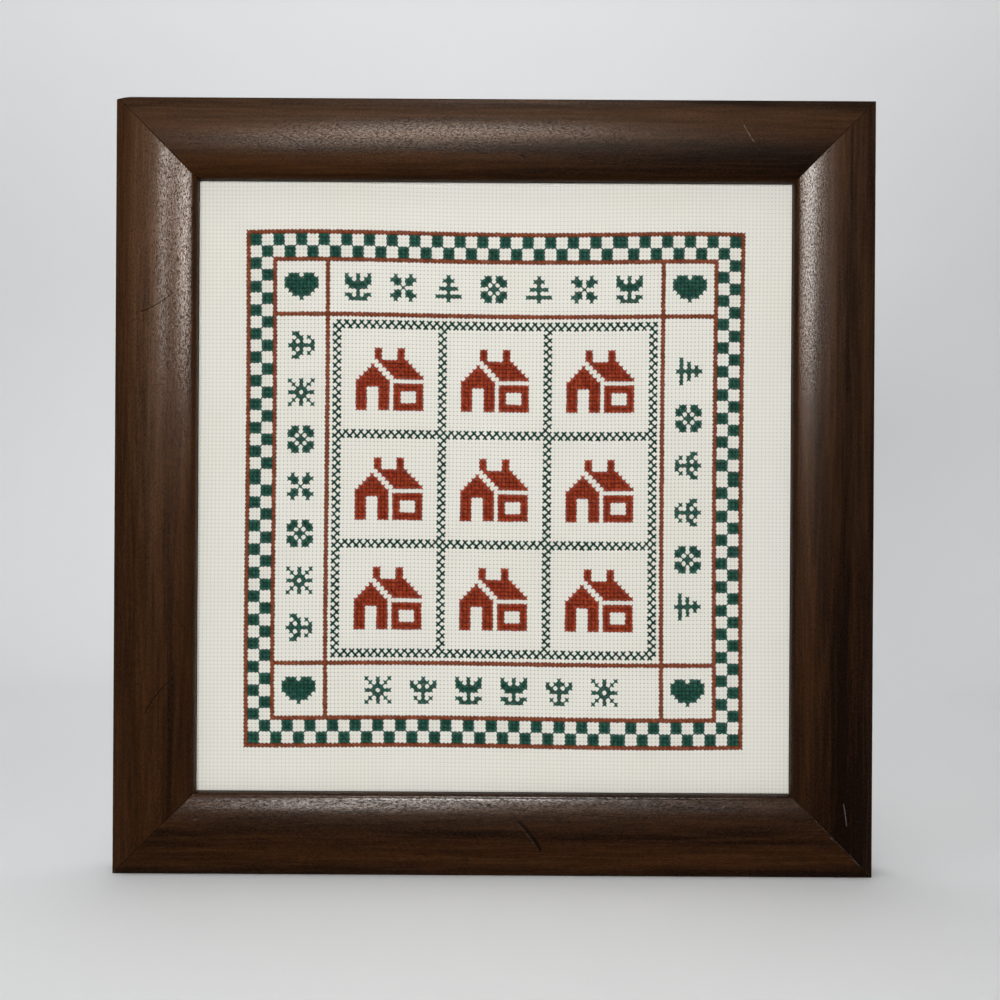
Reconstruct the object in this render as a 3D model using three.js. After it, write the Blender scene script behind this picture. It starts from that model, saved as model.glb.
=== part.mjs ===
// A framed cross stitch sampler: four mitred lengths of dark, crowned moulding, the stitched
// cloth lying taut in their rabbet, and the stiff board behind it.
// Millimetres, +Z up. The picture faces -Y. The origin is on the ground, under the middle.

import * as THREE from 'three';

// Driving dimensions of the whole frame
const FRAME_WIDTH = 354;
const FRAME_HEIGHT = 362;
const FRAME_DEPTH = 25;

// Driving dimensions of the moulding's section
const MOULDING_WIDTH = 38.1;
const CROWN_RADIUS = 47;
const OUTER_ARRIS_RADIUS = 1;
const SIGHT_EDGE_RADIUS = 4;
const RABBET_WIDTH = 6.5;
const CLOTH_BEHIND_CROWN = 8.5;
const CROWN_TOP_ANGLE = 1.5 * Math.PI;
const ARC_DIVISIONS = 8;

// Thicknesses of what lies in the rabbet, and the clearance between all pieces
const CLOTH_THICKNESS = 1;
const BOARD_THICKNESS = 3;
const CLEARANCE = 0.3;

// Places that follow from the dimensions, with y counted back from the middle of the depth
const FRONT_Y = -FRAME_DEPTH / 2;
const BACK_Y = FRAME_DEPTH / 2;
const CLOTH_FRONT_Y = FRONT_Y + CLOTH_BEHIND_CROWN;
const CLOTH_BACK_Y = CLOTH_FRONT_Y + CLOTH_THICKNESS;
const BOARD_FRONT_Y = CLOTH_BACK_Y + CLEARANCE;
const LIP_BACK_Y = CLOTH_FRONT_Y - CLEARANCE;
const RABBET_EDGE = MOULDING_WIDTH - RABBET_WIDTH;
const RABBET_FIT = 2 * (RABBET_EDGE + CLEARANCE);
const MITRE_TRIM = (CLEARANCE / 2) * Math.SQRT2;

const stainedWood = { color: 0x3b2417, roughness: 0.38, metalness: 0 };
const creamCloth = { color: 0xe6e1d2, roughness: 0.95, metalness: 0 };
const greyBoard = { color: 0x8d7a62, roughness: 0.9, metalness: 0 };

function namedMesh(name, geometry, finish) {
  const mesh = new THREE.Mesh(geometry, new THREE.MeshStandardMaterial(finish));
  mesh.name = name;
  return mesh;
}

// The circle of the given radius that lies inside the crown's circle and touches both it and
// the upright side of the section at that side's place across the width.
function roundingAtSide(crown, side, radius) {
  const inward = Math.sign(crown.x - side);
  const x = side + inward * radius;
  const y = crown.y - Math.sqrt((CROWN_RADIUS - radius) ** 2 - (crown.x - x) ** 2);
  const touchAngle = Math.atan2(y - crown.y, x - crown.x) + 2 * Math.PI;
  return { x, y, radius, touchAngle };
}

// The moulding's section: x runs from the outer edge in to the sight edge, y runs back.
function mouldingSection() {
  const crown = { x: MOULDING_WIDTH / 2, y: FRONT_Y + CROWN_RADIUS };
  const outer = roundingAtSide(crown, 0, OUTER_ARRIS_RADIUS);
  const sight = roundingAtSide(crown, MOULDING_WIDTH, SIGHT_EDGE_RADIUS);

  const section = new THREE.Shape();
  section.moveTo(0, BACK_Y);
  section.lineTo(0, outer.y);
  section.absarc(outer.x, outer.y, outer.radius, Math.PI, outer.touchAngle);
  section.absarc(crown.x, crown.y, CROWN_RADIUS, outer.touchAngle, CROWN_TOP_ANGLE);
  section.absarc(crown.x, crown.y, CROWN_RADIUS, CROWN_TOP_ANGLE, sight.touchAngle);
  section.absarc(sight.x, sight.y, sight.radius, sight.touchAngle, 2 * Math.PI);
  section.lineTo(MOULDING_WIDTH, LIP_BACK_Y);
  section.lineTo(RABBET_EDGE, LIP_BACK_Y);
  section.lineTo(RABBET_EDGE, BACK_Y);
  section.closePath();
  return section;
}

// One length of moulding, lying along x as the bottom rail does, with its outer edge at z = 0.
// Each end slants at 45 degrees, so it is shorter by the distance from the outer edge.
function mitredLength(length) {
  const geometry = new THREE.ExtrudeGeometry(mouldingSection(), {
    depth: 1,
    steps: 1,
    bevelEnabled: false,
    curveSegments: ARC_DIVISIONS,
  });
  geometry.rotateY(-Math.PI / 2);
  const position = geometry.attributes.position;
  for (let i = 0; i < position.count; i += 1) {
    const reach = length / 2 - MITRE_TRIM - position.getZ(i);
    const end = position.getX(i) > -0.5 ? 1 : -1;
    position.setX(i, end * reach);
  }
  geometry.computeVertexNormals();
  return geometry;
}

// The four sides, each turned about the frame's middle from the place of the bottom rail.
function frameSides() {
  const sides = [
    { name: 'rail_bottom', length: FRAME_WIDTH, across: FRAME_HEIGHT, quarterTurns: 0 },
    { name: 'stile_left', length: FRAME_HEIGHT, across: FRAME_WIDTH, quarterTurns: 1 },
    { name: 'rail_top', length: FRAME_WIDTH, across: FRAME_HEIGHT, quarterTurns: 2 },
    { name: 'stile_right', length: FRAME_HEIGHT, across: FRAME_WIDTH, quarterTurns: 3 },
  ];
  return sides.map(({ name, length, across, quarterTurns }) => {
    const side = namedMesh(name, mitredLength(length), stainedWood);
    side.position.z = -across / 2;
    const turned = new THREE.Group();
    turned.rotation.y = (quarterTurns * Math.PI) / 2;
    turned.add(side);
    return turned;
  });
}

// A flat sheet that fills the rabbet, with its front face at the given depth.
function rabbetSheet(name, frontY, thickness, finish) {
  const width = FRAME_WIDTH - RABBET_FIT;
  const height = FRAME_HEIGHT - RABBET_FIT;
  const sheet = namedMesh(name, new THREE.BoxGeometry(width, thickness, height), finish);
  sheet.position.y = frontY + thickness / 2;
  return sheet;
}

const picture = new THREE.Group();
picture.position.z = FRAME_HEIGHT / 2;
picture.add(...frameSides());
picture.add(rabbetSheet('sampler_cloth', CLOTH_FRONT_Y, CLOTH_THICKNESS, creamCloth));
picture.add(rabbetSheet('backing_board', BOARD_FRONT_Y, BOARD_THICKNESS, greyBoard));

const framedSampler = new THREE.Group();
framedSampler.add(picture);

export default framedSampler;
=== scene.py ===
import math

import bpy
import numpy as np
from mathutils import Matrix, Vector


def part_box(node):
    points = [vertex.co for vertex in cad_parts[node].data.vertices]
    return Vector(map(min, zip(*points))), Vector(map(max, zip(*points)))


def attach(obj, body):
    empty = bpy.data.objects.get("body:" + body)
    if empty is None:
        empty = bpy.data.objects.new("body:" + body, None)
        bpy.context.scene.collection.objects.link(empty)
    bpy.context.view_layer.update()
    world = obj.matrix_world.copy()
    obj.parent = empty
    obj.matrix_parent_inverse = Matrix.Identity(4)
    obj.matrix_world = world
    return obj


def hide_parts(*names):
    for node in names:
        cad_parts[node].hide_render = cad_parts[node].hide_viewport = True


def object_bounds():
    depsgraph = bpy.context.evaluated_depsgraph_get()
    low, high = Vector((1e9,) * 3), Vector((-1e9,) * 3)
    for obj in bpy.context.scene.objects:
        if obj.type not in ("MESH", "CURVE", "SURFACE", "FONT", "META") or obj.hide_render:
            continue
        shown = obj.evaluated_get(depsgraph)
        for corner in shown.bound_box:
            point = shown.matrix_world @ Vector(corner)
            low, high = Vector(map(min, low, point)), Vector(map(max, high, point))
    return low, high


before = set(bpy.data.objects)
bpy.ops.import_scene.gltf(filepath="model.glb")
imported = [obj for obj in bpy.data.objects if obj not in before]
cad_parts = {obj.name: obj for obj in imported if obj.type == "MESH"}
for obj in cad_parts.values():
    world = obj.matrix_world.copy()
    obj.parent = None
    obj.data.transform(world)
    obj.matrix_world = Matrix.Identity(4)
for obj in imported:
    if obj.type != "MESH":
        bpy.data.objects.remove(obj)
cadLow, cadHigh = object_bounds()
mm = 0.001
draw = np.random.default_rng(14)      # every random choice comes from here, in order
middleX = (cadLow.x + cadHigh.x) / 2
middleZ = (cadLow.z + cadHigh.z) / 2
clothLow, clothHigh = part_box("sampler_cloth")
print("frame loaded:", ", ".join(sorted(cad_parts)))


# A node socket that takes part in sums: sums, products and powers of it add Math nodes.
# One with no socket starts off a material's tree.
class Sock:
    def __init__(self, tree, socket=None):
        self.tree = tree
        self.socket = socket

    # Adds a node: its settings first, then the values or links of its sockets, by name or number.
    def node(self, kind, settings=None, inputs=None, output=0):
        made = self.tree.nodes.new(kind)
        for key, value in (settings or {}).items():
            setattr(made, key, value)
        for key, value in (inputs or {}).items():
            if isinstance(value, Sock):
                self.tree.links.new(value.socket, made.inputs[key])
            else:
                made.inputs[key].default_value = value
        return Sock(self.tree, made.outputs[output] if made.outputs else None)

    def maths(self, operation, first, second=0.0):
        return self.node("ShaderNodeMath", {"operation": operation}, {0: first, 1: second})

    def __add__(self, other):
        return self.maths("ADD", self, other)

    def __radd__(self, other):
        return self.maths("ADD", other, self)

    def __sub__(self, other):
        return self.maths("SUBTRACT", self, other)

    def __rsub__(self, other):
        return self.maths("SUBTRACT", other, self)

    def __mul__(self, other):
        return self.maths("MULTIPLY", self, other)

    def __rmul__(self, other):
        return self.maths("MULTIPLY", other, self)

    def __pow__(self, other):
        return self.maths("POWER", self, other)

    def sine(self):
        return self.maths("SINE", self)

    def size(self):
        return self.maths("ABSOLUTE", self)

    def fromWhole(self):                  # distance to the nearest whole number
        return self.maths("PINGPONG", self, 0.5)

    # 0 at the low value, 1 at the high one, and an even slope between.
    def ramp(self, low, high):
        return self.node("ShaderNodeMapRange", {"clamp": True},
                         {"Value": self, "From Min": low, "From Max": high})

    # The first colour where this value is 0, the second where it is 1.
    def between(self, first, second):
        return self.node("ShaderNodeMix", {"data_type": "RGBA"}, {0: self, 6: first, 7: second}, 2)

    # This vector, stretched by a factor on each axis.
    def stretched(self, factors):
        return self.node("ShaderNodeVectorMath", {"operation": "MULTIPLY"}, {0: self, 1: factors})

    def noise(self, scale, detail=2.0, roughness=0.5):
        return self.node("ShaderNodeTexNoise", None,
                         {"Vector": self, "Scale": scale, "Detail": detail, "Roughness": roughness})

    def bump(self, strength, depth):
        return self.node("ShaderNodeBump", None,
                         {"Strength": strength, "Distance": depth, "Height": self})

    def attribute(self, name, output):
        return self.node("ShaderNodeAttribute", {"attribute_name": name}, None, output)

    def part(self, axis):                 # one number of this vector
        return self.node("ShaderNodeSeparateXYZ", None, {"Vector": self}, axis)


# A material with one Principled shader. The recipe gives the shader's inputs, as plain values
# where they are the same all over.
def finish(name, recipe, look):
    material = bpy.data.materials.new(name)
    material.use_nodes = True
    material.node_tree.nodes.clear()
    start = Sock(material.node_tree)
    shader = start.node("ShaderNodeBsdfPrincipled", None, recipe(start, look))
    start.node("ShaderNodeOutputMaterial", None, {"Surface": shader})
    return material


# Puts points and faces into a mesh object. Each face group is an array with a row of corner
# numbers for each face, so quads and many-sided caps go in side by side.
def putMesh(name, points, faceGroups, material, attributes=None, sharp=None):
    mesh = bpy.data.meshes.new(name)
    corners = np.concatenate([group.ravel() for group in faceGroups])
    sides = np.concatenate([np.full(len(group), group.shape[1]) for group in faceGroups])
    mesh.vertices.add(len(points))
    mesh.vertices.foreach_set("co", points.astype(np.float32).ravel())
    mesh.loops.add(len(corners))
    mesh.loops.foreach_set("vertex_index", corners.astype(np.int32))
    mesh.polygons.add(len(sides))
    mesh.polygons.foreach_set("loop_start", (np.cumsum(sides) - sides).astype(np.int32))
    mesh.update(calc_edges=True)
    mesh.polygons.foreach_set("use_smooth", np.ones(len(sides), bool))
    for key, values in (attributes or {}).items():
        kind, field = ("FLOAT", "value") if values.ndim == 1 else ("FLOAT_VECTOR", "vector")
        layer = mesh.attributes.new(key, kind, "POINT")
        layer.data.foreach_set(field, values.astype(np.float32).ravel())
    if sharp is not None:                 # edges whose two ends share a ring of that number
        ends = np.zeros(2 * len(mesh.edges), np.int32)
        mesh.edges.foreach_get("vertices", ends)
        first, second = sharp[ends.reshape(-1, 2)].transpose(1, 0, 2)
        hard = ((first == second) & (first >= 0)).any(1)
        mesh.attributes.new("sharp_edge", "BOOLEAN", "EDGE").data.foreach_set("value", hard)
    mesh.materials.append(material)
    piece = bpy.data.objects.new(name, mesh)
    bpy.context.scene.collection.objects.link(piece)
    return piece


# The faces of a grid of points, rows by columns, with the columns closed into a ring if asked.
def gridFaces(rows, columns, ring=False):
    across = np.arange(columns if ring else columns - 1)
    row, column = np.meshgrid(np.arange(rows - 1), across, indexing="ij")
    beside = (column + 1) % columns
    corners = [row * columns + column, (row + 1) * columns + column,
               (row + 1) * columns + beside, row * columns + beside]
    return np.stack([corner.ravel() for corner in corners], axis=1)


# The cloth and its stitches are laid out in blocks of the weave, p to the right and q up from
# the middle of the stitching. A stitch covers one block, and a hole lies at whole numbers.
sampler = {
    "stitches": 132,                      # along each side of the whole design
    "blockWide": 1.772 * mm,
    "blockHigh": 1.838 * mm,
    "right": 0.15 * mm,                   # of the stitching's middle from the frame's
    "up": -1.2 * mm,
    "bowTop": 0.75 * mm,                  # how far straight rows of stitches wander
    "bowTopShift": 0.39,                  # of its wave, in halves of the design
    "bowBottom": 0.5 * mm,
    "bowBottomShift": -0.2,
    "bowLeft": 0.3 * mm,
    "bowLeftWave": (2.6, 0.4),            # radians to half the design, and at the middle
    "bowRight": 0.55 * mm,
    "wobble": 0.06 * mm,
    "wobbleAcross": (0.71, 0.23, 0.19),   # radians a block: along a column, across it, and along
    "wobbleUp": (0.67, -0.31, 0.13),      # the same for a row
    "holeDepth": 0.26 * mm,
    "edgeDepth": 0.07 * mm,
    "ripple": 0.10 * mm,
    "rippleWaves": ((0.11, 0.05, 1.0), (-0.04, 0.09, 0.6)),   # radians a block, and at the middle
    "rippleEnd": 1.3,                     # where the ripples have died out, in halves of the design
    "shownAcross": (-77.5, 77.5),         # blocks that show in the frame
    "shownUp": (-76.5, 77.5),
    "gridStep": 0.5,                      # of a block, from line to line
}
half = sampler["stitches"] // 2


# A short wave along a row or column: a sine that leans over, times a slower cosine.
def wobble(along, across, waves):
    return np.sin(waves[0] * along + waves[1] * across) * np.cos(waves[2] * along)


# Where block (p, q) lies on the cloth: an even grid, plus waves that pull its rows and columns
# a little out of true. The waves fade to nothing at the edge of the stitching.
def clothPlace(p, q):
    s, t = p / half, q / half
    fadeS, fadeT = np.clip(1 - s ** 4, 0, 1), np.clip(1 - t ** 4, 0, 1)
    top, right = (1 + np.clip(t, -1, 1)) / 2, (1 + np.clip(s, -1, 1)) / 2
    above = sampler["bowTop"] * np.sin(math.pi * (s + sampler["bowTopShift"])) * top
    below = sampler["bowBottom"] * np.sin(math.pi * (s + sampler["bowBottomShift"])) * (1 - top)
    rise = (-above - below) * fadeS
    turn, start = sampler["bowLeftWave"]
    drift = sampler["bowLeft"] * np.sin(turn * t + start) * (1 - right) * fadeT
    drift = drift - sampler["bowRight"] * (1 - t ** 2) * right * fadeT
    shiver = sampler["wobble"] * fadeS * fadeT
    x = middleX + sampler["right"] + p * sampler["blockWide"] + drift
    z = middleZ + sampler["up"] + q * sampler["blockHigh"] + rise
    x = x + shiver * wobble(q, p, sampler["wobbleAcross"])
    z = z + shiver * wobble(p, q, sampler["wobbleUp"])
    return x, z


# How far the cloth's face stands out at block (p, q): each block is a low cushion, sunk along
# its edges and deepest at its corner holes, on slow ripples.
def clothLift(p, q):
    column, row = np.cos(math.pi * p) ** 2, np.cos(math.pi * q) ** 2
    first, second = (np.sin(right * p + up * q + start) for right, up, start in sampler["rippleWaves"])
    fade = np.clip(sampler["rippleEnd"] - np.maximum(abs(p), abs(q)) / half, 0, 1)
    lift = sampler["ripple"] * (first * second) * fade
    return lift - sampler["holeDepth"] * column * row - sampler["edgeDepth"] * (column + row) / 2


# Motifs as charts, a letter x for each stitch.
house = """
.....xx....xx.....
.....xx....xx.....
.....xx....xx.....
......xxxxxxxx....
....x..xxxxxxxx...
...xxx..xxxxxxxx..
..xxxxx..xxxxxxxx.
.xxxxxxx..xxxxxxxx
xxxxxxxxx.........
xxxxxxxxx.xxxxxxxx
xxx...xxx.xxxxxxxx
xxx...xxx.xx....xx
xxx...xxx.xx....xx
xxx...xxx.xx....xx
xxx...xxx.xxxxxxxx
xxx...xxx.xxxxxxxx
"""
heart = """
.xxx.xxx.
xxxxxxxxx
xxxxxxxxx
xxxxxxxxx
.xxxxxxx.
..xxxxx..
....x....
"""
tulip = """
x..x..x
xx.x.xx
xxxxxxx
.xxxxx.
...x...
xx.x.xx
.xxxxx.
"""
star = """
.x...x.
xxx.xxx
.xx.xx.
...x...
.xx.xx.
xxx.xxx
.x...x.
"""
pine = """
...x...
..xxx..
...x...
.xxxxx.
...x...
xxxxxxx
...x...
"""
clover = """
.xx.xx.
xxx.xxx
xx.x.xx
..xxx..
xx.x.xx
xxx.xxx
.xx.xx.
"""
sprig = """
...x...
x.xxx.x
xx.x.xx
.xxxxx.
...x...
.x.x.x.
..xxx..
"""
crystal = """
x..x..x
.x.x.x.
..xxx..
xxx.xxx
..xxx..
.x.x.x.
x..x..x
"""
design = {
    "rings": (0, 7),                      # square rings of single stitches, in from the edge
    "bars": (21, 110),                    # straight lines from ring to ring
    "lattice": (23, 51, 79, 107),         # two stitches wide
    "cells": (25, 53, 81),                # 26 stitches square, one house in each
    "cellMiddle": 12.5,
    "check": 3,                           # stitches to a check, but for one wider check a side
    "widerAcross": 97,                    # where that check begins
    "widerDown": 61,
    "bandMiddle": 14,                     # of the band of hearts and ornaments, in from the edge
    "pitch": 12,                          # from one ornament's middle to the next
}
# The ornaments along each side of the band, and the quarter turns that stand them on it.
ornaments = {
    "top": {"motifs": (tulip, star, pine, clover, pine, star, tulip), "turns": 0},
    "left": {"motifs": (sprig, crystal, clover, star, clover, crystal, sprig), "turns": 1},
    "bottom": {"motifs": (crystal, sprig, tulip, tulip, sprig, crystal), "turns": 0},
    "right": {"motifs": (pine, clover, sprig, sprig, clover, pine), "turns": 3},
}


# A charted motif as rows of true and false.
def charted(motif):
    return np.array([[mark == "x" for mark in row] for row in motif.split()])


# Sets a motif into a chart with its middle at the given row and column.
def stamp(chart, motif, row, column):
    high, wide = motif.shape
    top, left = int(round(row - (high - 1) / 2)), int(round(column - (wide - 1) / 2))
    chart[top:top + high, left:left + wide] |= motif


def checkNumber(along, wider):
    return (along - 1 - (along >= wider + design["check"])) // design["check"]


# The whole design as one chart for each kind of stitching, row 0 at the top. Rings and checks go
# by the distance in from the edge, the lattice is every other stitch of its bands, and each motif
# is set in by its middle.
def makeCharts():
    last = sampler["stitches"] - 1
    row, column = np.indices((last + 1, last + 1))
    rim = np.minimum(np.minimum(row, column), np.minimum(last - row, last - column))
    outer, inner = design["rings"]
    lines = (rim == outer) | (rim == inner)
    for bar in design["bars"]:
        lines |= ((row == bar) | (column == bar)) & (rim > inner)
    number = checkNumber(column, design["widerAcross"]) + checkNumber(row, design["widerDown"])
    checks = (rim > outer) & (rim < inner) & (number % 2 == 0)
    pairs = np.concatenate([[start, start + 1] for start in design["lattice"]])
    inside = (np.minimum(row, column) >= pairs[0]) & (np.maximum(row, column) <= pairs[-1])
    lattice = inside & (np.isin(row, pairs) | np.isin(column, pairs)) & ((row + column) % 2 == 1)
    houses, motifs = np.zeros_like(lines), np.zeros_like(lines)
    middles = [start + design["cellMiddle"] for start in design["cells"]]
    for high in middles:
        for wide in middles:
            stamp(houses, charted(house), high, wide)
    near, far = design["bandMiddle"], last - design["bandMiddle"]
    for high in (near, far):
        for wide in (near, far):
            stamp(motifs, charted(heart), high, wide)
    for side, band in ornaments.items():
        count = len(band["motifs"])
        places = last / 2 + design["pitch"] * (np.arange(count) - (count - 1) / 2)
        fixed = near if side in ("top", "left") else far
        for motif, place in zip(band["motifs"], places):
            turned = np.rot90(charted(motif), band["turns"])
            high, wide = (fixed, place) if side in ("top", "bottom") else (place, fixed)
            stamp(motifs, turned, high, wide)
    return {"checkThread": checks, "latticeThread": lattice, "motifThread": motifs,
            "lineThread": lines, "houseThread": houses}


clothLook = {
    "cream": (0.82, 0.805, 0.735, 1),
    "aged": (0.79, 0.76, 0.67, 1),
    # painted shade in the holes, and a little along the blocks' edges
    "shadedHole": (0.22, 0.21, 0.185, 1),
    # painted shadow between close stitches, tinted by their green or rust thread
    "greenStitchShadow": (0.0015, 0.008, 0.0055, 1),
    "rustStitchShadow": (0.030, 0.003, 0.001, 1),
    "threads": 4,                         # to a block
    "cloud": 0.03,                        # how often each noise comes round in a block
    "lint": 7.0,
    "squareFade": 2,                      # blocks each side of the edge of the stitched square
    "holeSpan": (0.17, 0.07),             # of a block, from a hole's rim to where it is darkest
    "edgeSpan": (0.22, 0.04),             # the same for the blocks' edges
    "edgeShade": 0.07,
    "holeShade": (0.42, 0.5),             # on bare cloth, and how much more in the stitched square
    # how much of that painted shadow shows
    "underShade": 0.97,
    "relief": 0.12 * mm,
}


# Cream cotton: a plain weave as a product of sines, with painted shade a little along the blocks'
# edges and dark in the holes, which show more in the stitched square, a faint cloud of age over it
# all, and painted shadow, tinted by the thread, on whatever shows between close stitches.
def clothRecipe(start, look):
    place = start.attribute("weave", "Vector")
    p, q = place.part(0), place.part(1)
    turn = look["threads"] * math.pi
    weave = (p * turn).sine() * (q * turn).sine()
    fromP, fromQ = p.fromWhole(), q.fromWhole()
    shadedHole = ((fromP * fromP + fromQ * fromQ) ** 0.5).ramp(*look["holeSpan"])
    edge = fromP.ramp(*look["edgeSpan"]) + fromQ.ramp(*look["edgeSpan"])
    fade = look["squareFade"]
    stitched = start.maths("MAXIMUM", p.size(), q.size()).ramp(half + fade, half - fade)
    cloud = place.noise(look["cloud"], 3.0).ramp(0.40, 0.75)
    lint = place.noise(look["lint"], 2.0)
    colour = (cloud * 0.55 + (lint - 0.5) * 0.5).between(look["cream"], look["aged"])
    # painted shade along the blocks' edges, then dark in the holes
    colour = (edge * look["edgeShade"]).between(colour, look["shadedHole"])
    bare, more = look["holeShade"]
    colour = (shadedHole * (bare + stitched * more)).between(colour, look["shadedHole"])
    # painted shadow on the cloth between close stitches, tinted by the thread over it
    under = start.attribute("under", "Vector")
    stitchShadow = under.part(1).between(look["rustStitchShadow"], look["greenStitchShadow"])
    colour = (under.part(0) * look["underShade"]).between(colour, stitchShadow)
    height = weave * 0.5 + lint * 0.6 - shadedHole
    return {"Base Color": colour, "Roughness": 0.92,
            "Specular IOR Level": 0.08, "Normal": height.bump(0.55, look["relief"])}


# Whether stitches of a chart lie all round each point of the cloth, at a block's middle or edge.
def coverAt(chart, p, q):
    rim = 20                              # blocks of bare cloth round the chart
    aside = 0.25                          # of a block, how far from the point is looked at
    ground = np.pad(chart, rim)
    cover = np.ones(p.shape, bool)
    for side in (-aside, aside):
        for height in (-aside, aside):
            column = np.floor(p + half + side).astype(int) + rim
            row = np.floor(half - q + height).astype(int) + rim
            cover &= ground[row, column]
    return cover


# The lines of the cloth's grid one way, in blocks: a cut edge, even steps over what shows, and
# the other cut edge.
def gridLines(low, high, block, shown):
    step = sampler["gridStep"]
    steps = np.arange(shown[0], shown[1] + step / 2, step)
    return np.concatenate([[low / block], steps, [high / block]])


# The cloth: a fine grid over what shows, with one wide step out to the cut edges, which lie
# hidden in the rabbet. A side strip on each edge and a plain back close it.
def makeCloth(charts):
    pLines = gridLines(clothLow.x - middleX - sampler["right"], clothHigh.x - middleX - sampler["right"],
                       sampler["blockWide"], sampler["shownAcross"])
    qLines = gridLines(clothLow.z - middleZ - sampler["up"], clothHigh.z - middleZ - sampler["up"],
                       sampler["blockHigh"], sampler["shownUp"])
    q, p = np.meshgrid(qLines, pLines, indexing="ij")
    x, z = clothPlace(p, q)
    lift = clothLift(p, q)
    lift[[0, -1]] = 0
    lift[:, [0, -1]] = 0
    front = np.stack([x, clothLow.y - lift, z], axis=-1)
    rows, columns = p.shape
    number = np.arange(rows * columns).reshape(rows, columns)
    back = np.array([[right, clothHigh.y, up] for right, up in (
        (clothLow.x, clothLow.z), (clothHigh.x, clothLow.z),
        (clothHigh.x, clothHigh.z), (clothLow.x, clothHigh.z))])
    low, lowFar, highFar, high = number.size + np.arange(len(back))
    edges = [np.append(number[0, ::-1], [low, lowFar]),
             np.append(number[::-1, -1], [lowFar, highFar]),
             np.append(number[-1], [highFar, high]),
             np.append(number[:, 0], [high, low])]
    faces = [gridFaces(rows, columns)[:, ::-1], np.array([[low, high, highFar, lowFar]])]
    faces += [edge[None, :] for edge in edges]
    points = np.concatenate([front.reshape(-1, 3), back])
    weave = np.stack([p, q, np.zeros_like(p)], axis=-1).reshape(-1, 3)
    # where close stitches cover the cloth, for the painted shadow between them
    green = coverAt(charts["checkThread"] | charts["motifThread"], p, q)
    rust = coverAt(charts["lineThread"] | charts["houseThread"], p, q)
    cover = coverAt(sum(charts[name] for name in charts if name != "latticeThread") > 0, p, q)
    under = np.stack([cover, green >= rust, np.zeros_like(p)], axis=-1).reshape(-1, 3)
    blank = np.zeros_like(back)
    layers = {"weave": np.concatenate([weave, blank]), "under": np.concatenate([under, blank])}
    cotton = finish("creamCotton", clothRecipe, clothLook)
    cloth = putMesh("samplerCloth", points, faces, cotton, layers)
    print("cloth:", rows, "by", columns, "points")
    return cloth


charts = makeCharts()
cloth = makeCloth(charts)
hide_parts("sampler_cloth")
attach(cloth, "root")


stitch = {
    "height": 0.21 * mm,
    "endHeight": 0.6,                     # share of the height left in the hole
    "taper": 0.7,                         # how fast a leg narrows towards its ends
    "underLift": (-0.26, 0.02, 0.05, 0.02, -0.26),   # mm, of the first leg over the cloth
    "overLift": (-0.22, 0.10, 0.24, 0.10, -0.22),    # mm, of the leg that crosses it
    "stations": (0.0, 0.2, 0.5, 0.8, 1.0),
    "across": (-1.0, -0.5, 0.0, 0.5, 1.0),
    "humps": (0.0, 1.0, 0.62, 1.0, 0.0),  # two strands side by side
    "stray": 0.05,                        # of a block, how unevenly the legs lie
    "liftVaries": 0.12,                   # how much these differ from leg to leg, as shares
    "widthVaries": 0.08,
    "heightVaries": 0.10,
    "ribs": 7.0,                          # turns of the twist along a leg
    "slant": 1.4,                         # and across half of it
    "relief": 0.06 * mm,
}
# A leg of two strands: half its width at the middle, the share of that left in the hole, and how
# far it reaches past its block. Stitches that stand apart are longer and more even.
closeLeg = {"wide": 0.41 * mm, "pinch": 0.62, "past": 0.02}
lineLeg = {"wide": 0.46 * mm, "pinch": 0.72, "past": 0.08}
openLeg = {"wide": 0.43 * mm, "pinch": 1.0, "past": 0.12}


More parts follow.
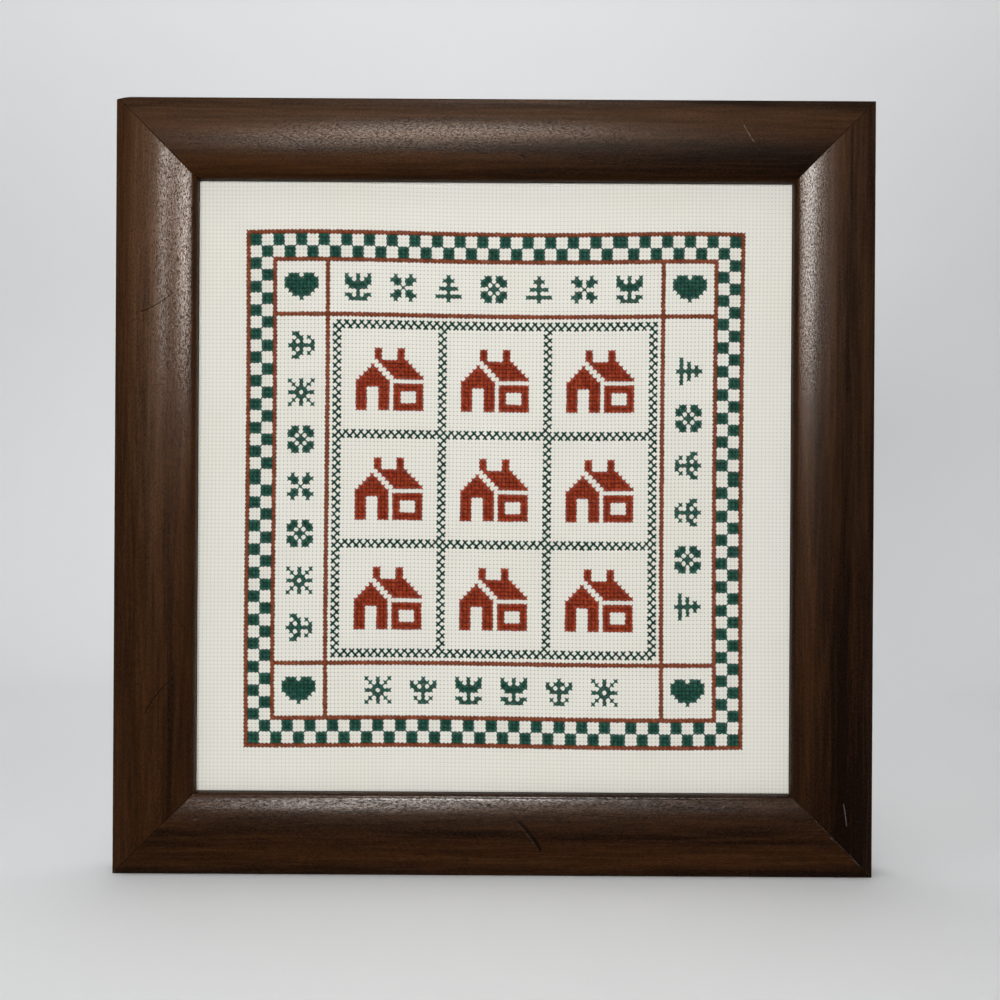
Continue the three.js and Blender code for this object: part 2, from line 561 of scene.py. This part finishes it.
# Cross stitches as one mesh. Each stitch is two legs from corner to corner of its block. A leg
# is a section of two humps carried along five stations, low in the holes and high between,
# where the second leg passes over the first.
def makeStitches(name, chart, cotton, slot, leg):
    row, column = np.nonzero(chart)
    left, top = column - half, half - row
    starts = np.stack([np.stack([left, top - 1], 1), np.stack([left, top], 1)], 1)
    ends = np.stack([np.stack([left + 1, top], 1), np.stack([left + 1, top - 1], 1)], 1)
    starts, ends = starts.reshape(-1, 1, 2), ends.reshape(-1, 1, 2)
    legs = len(starts)
    t = np.array(stitch["stations"])[None, :, None]
    rounded = np.sin(math.pi * t)
    strays = draw.normal(0, stitch["stray"], (legs, 2, 2))
    reach = t * (1 + 2 * leg["past"]) - leg["past"]
    lines = starts + (ends - starts) * reach + strays[:, :1] * rounded
    lines = lines + strays[:, 1:] * np.sin(2 * math.pi * t)
    x, z = clothPlace(lines[..., 0], lines[..., 1])
    runX, runZ = np.gradient(x, axis=1), np.gradient(z, axis=1)
    length = np.hypot(runX, runZ)
    sideX, sideZ = -runZ / length, runX / length
    lifts = np.array([stitch["underLift"], stitch["overLift"]]) * mm
    lift = np.tile(lifts, (legs // 2, 1)) * draw.normal(1, stitch["liftVaries"], (legs, 1))
    width = leg["wide"] * draw.normal(1, stitch["widthVaries"], (legs, 1, 1))
    width = width * (leg["pinch"] + (1 - leg["pinch"]) * rounded ** stitch["taper"])
    height = stitch["height"] * draw.normal(1, stitch["heightVaries"], (legs, 1, 1))
    height = height * (stitch["endHeight"] + (1 - stitch["endHeight"]) * rounded)
    across, humps = np.array(stitch["across"]), np.array(stitch["humps"])
    points = np.stack([
        x[..., None] + sideX[..., None] * across * width,
        clothLow.y - lift[..., None] - humps * height,
        z[..., None] + sideZ[..., None] * across * width], axis=-1)
    stations, ring = len(stitch["stations"]), len(across)
    first = (np.arange(legs) * stations * ring)[:, None, None]
    sides = (gridFaces(stations, ring, ring=True)[None] + first).reshape(-1, 4)
    startCaps = np.arange(ring)[None] + first[:, 0]
    endCaps = ((stations - 1) * ring + np.arange(ring)[::-1])[None] + first[:, 0]
    tone = draw.uniform(0, 1, (legs, 1, 1))
    strand = np.stack(np.broadcast_arrays(t * np.ones((legs, 1, ring)), across, tone), axis=-1)
    piece = putMesh(name, points.reshape(-1, 3), [sides, startCaps, endCaps], cotton,
                    {"strand": strand.reshape(-1, 3)})
    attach(piece, "root")
    print(name + ":", legs // 2, "stitches")
    return piece


# Stranded cotton: each leg has a tone of its own, painted shade in the cleft between its strands
# and where it dips into the cloth, and the twist as slanting ribs, raised and painted light and dark.
def threadRecipe(start, look):
    strand = start.attribute("strand", "Vector")
    along, across, tone = strand.part(0), strand.part(1), strand.part(2)
    ribs = ((along * stitch["ribs"] + across * stitch["slant"]) * (2 * math.pi)).sine()
    # painted shade in the cleft between the two strands
    shadedCleft = (across * across).ramp(0.06, 0.0)
    # painted light and shade along the ribs of the twist, on the leg's own tone
    shade = tone * 0.7 + ribs * 0.25 + 0.15
    colour = shade.between(look["dark"], look["light"])
    # painted shade where the leg dips into the cloth
    ends = ((along - 0.5) * (along - 0.5)).ramp(0.035, 0.19)
    colour = (shadedCleft * 0.35 + ends * look["sunk"]).between(colour, look["shadedCleft"])
    return {"Base Color": colour, "Roughness": 0.7,
            "Specular IOR Level": 0.05, "Normal": (ribs - shadedCleft).bump(0.5, stitch["relief"])}


greenLook = {
    "dark": (0.009, 0.070, 0.047, 1),
    "light": (0.040, 0.180, 0.128, 1),
    "shadedCleft": (0.002, 0.013, 0.009, 1),
    "sunk": 0.9,                          # how much of the painted cleft shade the ends take on
}
latticeLook = {
    "dark": (0.006, 0.036, 0.024, 1),
    "light": (0.012, 0.066, 0.045, 1),
    "shadedCleft": (0.003, 0.020, 0.013, 1),
    "sunk": 0.2,
}
rustLook = {
    "dark": (0.31, 0.026, 0.005, 1),
    "light": (0.60, 0.090, 0.030, 1),
    "shadedCleft": (0.060, 0.004, 0.001, 1),
    "sunk": 0.9,
}
lineLook = {
    "dark": (0.20, 0.042, 0.014, 1),
    "light": (0.40, 0.108, 0.046, 1),
    "shadedCleft": (0.050, 0.010, 0.003, 1),
    "sunk": 0.8,
}
greenCotton = finish("greenCotton", threadRecipe, greenLook)
latticeCotton = finish("latticeCotton", threadRecipe, latticeLook)
rustCotton = finish("rustCotton", threadRecipe, rustLook)
lineCotton = finish("lineCotton", threadRecipe, lineLook)
# Each kind of stitching: its thread, its slot and its legs.
sewing = {
    "checkThread": {"cotton": greenCotton, "slot": "green_thread", "leg": closeLeg},
    "latticeThread": {"cotton": latticeCotton, "slot": "green_thread", "leg": openLeg},
    "motifThread": {"cotton": greenCotton, "slot": "green_thread", "leg": closeLeg},
    "lineThread": {"cotton": lineCotton, "slot": "rust_thread", "leg": lineLeg},
    "houseThread": {"cotton": rustCotton, "slot": "rust_thread", "leg": closeLeg},
}
threads = [makeStitches(name, charts[name], **kind) for name, kind in sewing.items()]


moulding = {
    "crownRadius": 47 * mm,
    "outerArris": 1.0 * mm,
    "sightEdge": 4.0 * mm,
    "rabbet": 6.5 * mm,
    "gap": 0.1 * mm,                      # between the lip and the cloth
    "mitreGap": 0.04 * mm,
    "mitreGroove": 0.25 * mm,             # depth of the fine groove along each mitre
    # How pale the stain is from end to end: the bottom from the left, the left from the top, the
    # top from the right and the right from the bottom.
    "stain": ((0.30, 0.22), (0.9, 0.50), (-0.25, 0.70), (-0.4, 0.45)),
    "shine": ((0.62, 0.62), (0.5, 0.5), (0.05, 0.14), (0.5, 0.5)),    # of the lacquer, likewise
    "grainStart": 0.37,                   # where the first side is cut from the grain's figure,
    "grainShift": 1.9,                    # and how far on the next, so that no two look alike
    "lipShade": 0.6,                       # of the painted shade on the upright lip beside the cloth
    "lipSlope": 0.1,                      # how little the lip faces forward
    "acrossStep": 0.3 * mm,
    "fewestSteps": 4,                     # across the smallest arc
    "alongStep": 6.0 * mm,
    "endSteps": (0.25, 0.5, 1.2, 2.2, 3.4),   # mm, finer steps towards each mitre
    "chip": (5.6 * mm, 1.5 * mm),         # worn off the upper left corner, along and down
    "chipDepth": 0.9,                     # share of the worn corner that is pressed down
}
# Old marks in the front of the wood, in mm from the frame's lower left corner: a bent line from
# one point to the other, its bow sideways and its width. A dent is dark, a scratch or nick pale.
marks = [
    {"dark": True, "start": (12.1, 261), "end": (28.5, 271.2), "bow": -1.2, "wide": 0.26},
    {"dark": True, "start": (15.2, 74.1), "end": (29.1, 92.1), "bow": 1.2, "wide": 0.26},
    {"dark": True, "start": (73.3, 344.9), "end": (90, 335), "bow": 1.4, "wide": 0.26},
    {"dark": True, "start": (188.4, 27.0), "end": (200.0, 12.0), "bow": 1.0, "wide": 0.7},
    {"dark": True, "start": (174.4, 33.6), "end": (176.4, 32.8), "bow": 0.0, "wide": 0.7},
    {"dark": True, "start": (178, 32.4), "end": (254, 27.9), "bow": -0.8, "wide": 0.14},
    {"dark": True, "start": (188.4, 335.2), "end": (190.8, 333.8), "bow": 0.0, "wide": 0.7},
    {"dark": False, "start": (291.4, 350.0), "end": (297.2, 340.2), "bow": -0.2, "wide": 0.2},
    {"dark": True, "start": (296.0, 341.6), "end": (300.4, 336.6), "bow": 0.0, "wide": 0.22},
    {"dark": False, "start": (339.5, 35.4), "end": (341.1, 24.6), "bow": 0.2, "wide": 0.24},
    {"dark": False, "start": (38.5, 26), "end": (40.3, 26.5), "bow": 0.0, "wide": 0.3},
    {"dark": False, "start": (284.0, 32.4), "end": (285.2, 33.6), "bow": 0.2, "wide": 0.3},
    {"dark": False, "start": (333.4, 19.9), "end": (335.2, 18.1), "bow": 0.0, "wide": 0.2},
    {"dark": False, "start": (343.2, 10.6), "end": (347.8, 6.0), "bow": 0.0, "wide": 0.2},
]
# Paler patches on the upper frame, in mm from the frame's lower left corner: the middle of each,
# how far it reaches each way, and how much.
paler = [
    {"side": "stile_left", "at": (16, 300), "reach": (9, 130), "much": 0.75},
    {"side": "rail_top", "at": (130, 357), "reach": (260, 9), "much": 0.35},
    {"side": "stile_right", "at": (345, 330), "reach": (12, 130), "much": 0.35},
]


# An arc of the section: points at a radius about a centre, the angle counted from straight
# forward towards the sight edge.
def sectionArc(centre, radius, start, stop):
    steps = int(math.ceil(radius * (stop - start) / moulding["acrossStep"]))
    steps = max(moulding["fewestSteps"], steps)
    angle = np.linspace(start, stop, steps + 1)
    return np.stack([centre[0] + radius * np.sin(angle), centre[1] - radius * np.cos(angle)], axis=1)


# The moulding's section as a closed ring: across from the outer edge, and depth. A wide crown
# arc runs into a small arc at each side, then come the lip, the rabbet and the flat back.
def mouldingSection(width):
    front, back = cadLow.y, cadHigh.y
    radius = moulding["crownRadius"]
    crown = (width / 2, front + radius)

    def rounding(edge, inward, small):
        across = edge + inward * small
        angle = math.asin((across - crown[0]) / (radius - small))
        return (across, crown[1] - (radius - small) * math.cos(angle)), small, angle

    outerPlace, outerRadius, outerAngle = rounding(0, 1, moulding["outerArris"])
    sightPlace, sightRadius, sightAngle = rounding(width, -1, moulding["sightEdge"])
    lipBack = clothLow.y - moulding["gap"]
    inside = width - moulding["rabbet"]
    arcs = [sectionArc(outerPlace, outerRadius, -math.pi / 2, outerAngle)[:-1],
            sectionArc(crown, radius, outerAngle, sightAngle)[:-1],
            sectionArc(sightPlace, sightRadius, sightAngle, math.pi / 2)]
    flats = np.array([[width, lipBack], [inside, lipBack], [inside, back], [0, back]])
    curved = sum(len(arc) for arc in arcs)
    return np.concatenate(arcs + [flats]), np.arange(curved, curved + len(flats))


# How pale the wood is at a place on the face: a bell about the middle of each paler patch.
def paleness(side, x, z):
    much = np.zeros_like(x)
    for patch in paler:
        if patch["side"] == side:
            right = ((x - cadLow.x) / mm - patch["at"][0]) / patch["reach"][0]
            up = (z / mm - patch["at"][1]) / patch["reach"][1]
            much += patch["much"] * np.exp(-right ** 2 - up ** 2)
    return much


# One length of moulding: the section carried along a straight path, each end drawn in by the
# distance from the outer edge, which cuts the mitre. The whole is turned by quarters into place,
# and the worn corner is pressed down to a slope.
def makeSide(name, quarter, length, across, material):
    low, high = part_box(name)
    width = min(high.x - low.x, high.z - low.z)
    section, corners = mouldingSection(width)
    reach = length / 2 - moulding["mitreGap"] / math.sqrt(2) - section[:, 0]
    stations = np.linspace(-1, 1, int(length / moulding["alongStep"]) | 1)
    ends = np.array(moulding["endSteps"]) * mm / (length / 2)
    stations = np.sort(np.concatenate([stations, ends - 1, 1 - ends]))
    along = stations[:, None] * reach
    u = np.broadcast_to(section[:, 0], along.shape)
    y = np.broadcast_to(section[:, 1], along.shape)
    turn = quarter * math.pi / 2
    cosine, sine = round(math.cos(turn)), round(math.sin(turn))
    x = along * cosine + (u - across / 2) * sine + middleX
    z = -along * sine + (u - across / 2) * cosine + middleZ
    chipWide, chipHigh = moulding["chip"]
    worn = np.clip(1 - (x - cadLow.x) / chipWide - (cadHigh.z - z) / chipHigh, 0, None)
    z = z - moulding["chipDepth"] * worn * chipHigh
    tangent = np.roll(section, -1, axis=0) - np.roll(section, 1, axis=0)
    tangent = tangent / np.linalg.norm(tangent, axis=1, keepdims=True)
    facing = np.clip(tangent[:, 0], 0, 1)             # only the front is grooved
    mitre = np.zeros_like(x)
    mitre[[0, -1]] = 1
    points = np.stack([x, y + moulding["mitreGroove"] * mitre * facing, z], axis=-1)
    # dark mitre joints, and painted shade on the upright lip beside the cloth
    lip = (section[:, 0] > width - moulding["sightEdge"]) & (facing < moulding["lipSlope"])
    jointDirtAndLipShade = np.maximum(mitre * facing, lip * moulding["lipShade"])
    steps = np.linalg.norm(np.diff(section, axis=0, append=section[:1]), axis=1)
    girth = np.concatenate([[0], np.cumsum(steps)[:-1]])
    figure = moulding["grainStart"] + moulding["grainShift"] * quarter
    grain = np.stack(np.broadcast_arrays(along, girth, figure), axis=-1)
    share = along / along.max()
    stain = np.interp(share, (-1, 1), moulding["stain"][quarter])
    shine = np.interp(share, (-1, 1), moulding["shine"][quarter])
    layers = {"grain": grain.reshape(-1, 3), "jointDirtAndLipShade": jointDirtAndLipShade.ravel(), "stain": stain.ravel(),
              "shine": shine.ravel(), "paler": paleness(name, x, z).ravel()}
    rows, ring = along.shape
    ringNumber = np.full((rows, ring, 2), -1)
    ringNumber[:, corners, 0] = corners               # hard edges along the lip, rabbet and back
    ringNumber[0, :, 1], ringNumber[-1, :, 1] = 0, 1  # and round the two mitres
    caps = [np.arange(ring)[None], (rows * ring - 1 - np.arange(ring))[None]]
    faces = [gridFaces(rows, ring, ring=True)] + caps
    piece = putMesh(name + "Wood", points.reshape(-1, 3), faces, material, layers,
                    ringNumber.reshape(-1, 2))
    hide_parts(name)
    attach(piece, "root")
    print(piece.name + ":", rows, "by", ring, "points")


woodLook = {
    "dark": (0.0075, 0.0030, 0.0014, 1),
    "light": (0.056, 0.0205, 0.0056, 1),
    "pale": (0.145, 0.078, 0.042, 1),
    "pore": (0.005, 0.0018, 0.0009, 1),
    # for dents and dark mitre joints, and for the painted shade on the lip
    "dirtAndShade": (0.003, 0.0015, 0.0010, 1),
    "bare": (0.20, 0.16, 0.13, 1),
    "figure": (4, 100, 1),                # how often a noise comes round in a metre, along the
    "streaks": (30, 650, 1),              # grain and across it
    "specks": (850, 2300, 1),
    "ridges": (400, 3000, 1),
    "pores": (700, 2400, 1),
    "sheen": 0.07,                        # of the wood under the lacquer
    "sheenTint": (1.0, 0.86, 0.72, 1),
    "coatRough": 0.20,
    "relief": 0.085 * mm,
}
markLook = {
    "front": (-3 * mm, -4 * mm),          # depths between which the marks come in
    "edge": (1.4, 0.3),                   # of a mark's width, from plain wood to its full shade
    "taper": (0.0, 0.3),
    "burrAt": 1.9,                        # of a dent's width, how far off its burr lies
    "burrEdge": (1.2, 0.2),
    "burrTaper": (0.2, 1.0),
    "burrShade": 0.10,
}


# How dark and how pale the marks make the wood: each is a band about a bent line, a parabola on
# its chord, that fades towards both ends. A dent has a paler burr on one side.
def markShades(start):
    place = start.node("ShaderNodeTexCoord", None, None, "Object")
    x, z = place.part(0) - cadLow.x, place.part(2)
    front = place.part(1).ramp(*markLook["front"])
    dark, pale = front * 0, front * 0
    for mark in marks:
        first, last = np.array(mark["start"]) * mm, np.array(mark["end"]) * mm
        run = float(np.linalg.norm(last - first))
        right, up = (float(part) for part in (last - first) / run)
        alongX, alongZ = x - float(first[0]), z - float(first[1])
        along = (alongX * right + alongZ * up) * (1 / run)
        inside = along * (1 - along) * 4
        off = (alongZ * right - alongX * up - inside * (mark["bow"] * mm)) * (1 / mm / mark["wide"])
        band = off.size().ramp(*markLook["edge"]) * inside.ramp(*markLook["taper"]) * front
        if mark["dark"]:
            dark = dark + band
            burr = (off + markLook["burrAt"]).size().ramp(*markLook["burrEdge"])
            pale = pale + burr * inside.ramp(*markLook["burrTaper"]) * front * markLook["burrShade"]
        else:
            pale = pale + band
    return dark, pale


# Dark stained wood: slow figure and fine streaks from noise drawn out along the grain, specks,
# short dark pores, the marks of use, dark mitre joints and painted shade on the lip beside the
# cloth. The satin lacquer is a coat that specks and pores break up, and fine ridges along the grain
# spread its highlights sideways.
def woodRecipe(start, look):
    grain = start.attribute("grain", "Vector")
    stain, shine = start.attribute("stain", "Fac"), start.attribute("shine", "Fac")
    dark, pale = markShades(start)
    jointDirtAndLipShade = start.attribute("jointDirtAndLipShade", "Fac")
    figure = grain.stretched(look["figure"]).noise(1.0, 3.0)
    streaks = grain.stretched(look["streaks"]).noise(1.0, 3.0, 0.6)
    specks = grain.stretched(look["specks"]).noise(1.0, 2.0)
    ridges = grain.stretched(look["ridges"]).noise(1.0, 2.0)
    pores = grain.stretched(look["pores"]).noise(1.0, 2.0).ramp(0.52, 0.68)
    lacquer = (specks * 0.6 + ridges * 0.4).ramp(0.38, 0.60)
    lacquer = lacquer * (1 - pores) * (1 - dark) * (1 - jointDirtAndLipShade)
    tone = (figure * 1.1 + streaks * 0.6 + specks * 0.8 + stain * 0.3).ramp(1.08, 1.68)
    colour = tone.between(look["dark"], look["light"])
    palerGrain = (figure * 0.8 + streaks * 0.6 + specks * 0.4).ramp(0.6, 1.2)
    colour = (start.attribute("paler", "Fac") * palerGrain).between(colour, look["pale"])
    colour = (pores * 0.75).between(colour, look["pore"])
    colour = (pale * specks.ramp(0.32, 0.62) * 0.8).between(colour, look["bare"])
    # dents, dark mitre joints and the painted lip shade take the dark colour
    colour = (jointDirtAndLipShade + dark).ramp(0, 1).between(colour, look["dirtAndShade"])
    rough = 0.24 + streaks * 0.06 + pores * 0.2 + jointDirtAndLipShade * 0.6
    height = ridges * 0.7 + specks * 0.6 - pores * 0.8 - dark * 0.1
    return {"Base Color": colour, "Roughness": rough, "Specular IOR Level": look["sheen"],
            "Specular Tint": look["sheenTint"], "Coat Weight": lacquer * shine,
            "Coat Roughness": look["coatRough"], "Normal": height.bump(0.6, look["relief"])}


stainedWood = finish("stainedWood", woodRecipe, woodLook)
frameWide, frameHigh = cadHigh.x - cadLow.x, cadHigh.z - cadLow.z
makeSide("rail_bottom", 0, frameWide, frameHigh, stainedWood)
makeSide("stile_left", 1, frameHigh, frameWide, stainedWood)
makeSide("rail_top", 2, frameWide, frameHigh, stainedWood)
makeSide("stile_right", 3, frameHigh, frameWide, stainedWood)


boardLook = {
    "pale": (0.36, 0.27, 0.175, 1),
    "dark": (0.22, 0.155, 0.095, 1),
    "cloud": 14,                          # how often each noise comes round in a metre
    "flecks": 900,
    "relief": 0.15 * mm,
}


# Plain fibre board: fine flecks of pale and dark pulp.
def boardRecipe(start, look):
    place = start.node("ShaderNodeTexCoord", None, None, "Object")
    cloud, flecks = place.noise(look["cloud"], 4.0), place.noise(look["flecks"], 3.0, 0.7)
    colour = (cloud * 0.4 + flecks * 0.6).ramp(0.3, 0.7).between(look["pale"], look["dark"])
    return {"Base Color": colour, "Roughness": 0.9, "Normal": flecks.bump(0.4, look["relief"])}


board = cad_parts["backing_board"]
board.data.materials.clear()
board.data.materials.append(finish("fibreBoard", boardRecipe, boardLook))
print("board finished")


stage = {
    "pale": (0.78, 0.785, 0.79, 1),
    "deeper": (0.75, 0.755, 0.76, 1),
    "cloud": 3.0,                         # how often the noise comes round in a metre
    "wide": 3.0,
    "front": -0.34,
    "bend": 0.55,                         # where the floor starts to turn up
    "radius": 0.45,
    "high": 2.4,
    "bendSteps": 25,
    "acrossSteps": 9,
}


# Pale paper, with the least cloud of tone.
def paperRecipe(start, look):
    place = start.node("ShaderNodeTexCoord", None, None, "Object")
    colour = place.noise(look["cloud"], 2.0).between(look["pale"], look["deeper"])
    return {"Base Color": colour, "Roughness": 0.85}


# The floor and backdrop as one sheet of paper: a straight floor, a quarter circle, and a
# straight rise, carried from side to side.
def makeStage():
    bend, radius = stage["bend"], stage["radius"]
    angle = np.linspace(0, math.pi / 2, stage["bendSteps"])
    curve = np.stack([bend + radius * np.sin(angle), radius * (1 - np.cos(angle))], 1)
    path = np.concatenate([[[stage["front"], 0]], curve, [[bend + radius, stage["high"]]]])
    x = np.linspace(-stage["wide"] / 2, stage["wide"] / 2, stage["acrossSteps"])
    points = np.stack(np.broadcast_arrays(x[None, :], path[:, :1], path[:, 1:]), axis=-1)
    paper = putMesh("paperSweep", points.reshape(-1, 3), [gridFaces(len(path), len(x))[:, ::-1]],
                    finish("palePaper", paperRecipe, stage))
    paper.visible_glossy = False          # the lacquer mirrors the dim room instead
    print("stage set")


makeStage()


view = {"right": 2.74 * mm, "away": 614 * mm, "up": 175.07 * mm, "lens": 46.79, "rollDeg": -0.338,
        "nearest": 10 * mm}


# The camera looks straight back at the frame, with the photograph's slight roll.
def makeCamera():
    camera = bpy.data.objects.new("viewCamera", bpy.data.cameras.new("viewCamera"))
    bpy.context.scene.collection.objects.link(camera)
    camera.location = (view["right"], -view["away"], view["up"])
    camera.rotation_euler = (math.pi / 2, math.radians(view["rollDeg"]), 0)
    camera.data.lens = view["lens"]
    camera.data.clip_start = view["nearest"]
    bpy.context.scene.camera = camera
    print("camera set")


makeCamera()

# Each light: where it stands, where it points, its two sides, its power, colour and spread, and
# whether the lacquer mirrors it and the rest is lit by it.
lights = {
    "keySoftbox": {"at": (0.02, -1.03, 0.52), "to": (0, 0, 0.36), "sides": (0.18, 0.24), "watts": 1.50,
                   "tint": (1.0, 1.0, 1.0), "spreadDeg": 95, "mirrored": False, "lighting": True},
    "keyGlint": {"at": (-0.05, -1.03, 0.78), "to": (0, 0, 0.2), "sides": (0.30, 0.30), "watts": 5.6,
                 "tint": (1.0, 0.98, 0.96), "spreadDeg": 130, "mirrored": True, "lighting": False},
    "topGlint": {"at": (0.05, -0.45, 0.85), "to": (0.05, -0.07, 0), "sides": (0.6, 0.35), "watts": 0.24,
                 "tint": (1.0, 0.98, 0.96), "spreadDeg": 18, "mirrored": True, "lighting": False},
    "wideGlow": {"at": (-0.05, -1.05, 0.56), "to": (0, 0, 0.25), "sides": (0.90, 0.45), "watts": 1.2,
                 "tint": (1.0, 0.95, 0.90), "spreadDeg": 130, "mirrored": True, "lighting": False},
    "rightGlint": {"at": (0.17, -1.0, 0.50), "to": (-0.23, 0, 0.26), "sides": (0.28, 0.26), "watts": 0.18,
                   "tint": (1.0, 0.95, 0.90), "spreadDeg": 24, "mirrored": True, "lighting": False},
    "leftGlint": {"at": (-0.17, -1.0, 0.54), "to": (0.15, 0, 0.27), "sides": (0.26, 0.38), "watts": 0.60,
                  "tint": (1.0, 0.95, 0.90), "spreadDeg": 40, "mirrored": True, "lighting": False},
    "farFill": {"at": (-1.0, -3.0, 0.35), "to": (0, 0, 0.2), "sides": (0.6, 0.6), "watts": 21,
                "tint": (1.0, 0.99, 0.98), "spreadDeg": 160, "mirrored": False, "lighting": True},
    "overheadSoftbox": {"at": (-0.15, -0.03, 1.4), "to": (-0.1, -0.05, 0), "sides": (1.2, 0.8),
                        "watts": 4.7, "tint": (0.97, 0.985, 1.0), "spreadDeg": 110,
                        "mirrored": False, "lighting": True},
    "wallWasher": {"at": (-0.32, 0.25, 1.35), "to": (-0.3, 1.0, 0.85), "sides": (3.2, 0.3), "watts": 7.2,
                   "tint": (0.97, 0.985, 1.0), "spreadDeg": 120, "mirrored": True, "lighting": True},
}
# The dim room: how bright it is round about, how dark where the camera is, and as seen itself.
# The dark place is told by how far a direction points forward and down.
room = {"tint": (1.0, 0.98, 0.95, 1), "around": 0.15, "ahead": 0.015, "seen": 0.7,
        "aheadWay": (0.97, 0.25), "aheadSpan": (-0.92, -0.5)}


# The lamps, and a dim room, darkest ahead of the picture, which itself looks evenly pale.
def makeLights():
    for name, lamp in lights.items():
        light = bpy.data.lights.new(name, "AREA")
        light.shape = "RECTANGLE"
        light.size, light.size_y = lamp["sides"]
        light.energy = lamp["watts"]
        light.color = lamp["tint"]
        light.spread = math.radians(lamp["spreadDeg"])
        holder = bpy.data.objects.new(name, light)
        bpy.context.scene.collection.objects.link(holder)
        holder.location = lamp["at"]
        holder.visible_glossy, holder.visible_diffuse = lamp["mirrored"], lamp["lighting"]
        aim = np.array(lamp["to"]) - np.array(lamp["at"])
        flat = math.hypot(aim[0], aim[1])
        holder.rotation_euler = (math.atan2(flat, -aim[2]), 0, math.atan2(-aim[0], aim[1]))
    world = bpy.data.worlds.new("room")
    world.use_nodes = True
    world.node_tree.nodes.clear()
    start = Sock(world.node_tree)
    seen = start.node("ShaderNodeLightPath", None, None, "Is Camera Ray")
    away = start.node("ShaderNodeTexCoord", None, None, "Generated")
    back, up = room["aheadWay"]
    aside = (away.part(1) * back + away.part(2) * up).ramp(*room["aheadSpan"])
    glow = room["ahead"] + aside * (room["around"] - room["ahead"])
    strength = glow * (1 - seen) + seen * room["seen"]
    sky = start.node("ShaderNodeBackground", None, {"Color": room["tint"], "Strength": strength})
    start.node("ShaderNodeOutputWorld", None, {"Surface": sky})
    bpy.context.scene.world = world
    bpy.context.scene.view_settings.view_transform = "Standard"
    print("lights set")


makeLights()
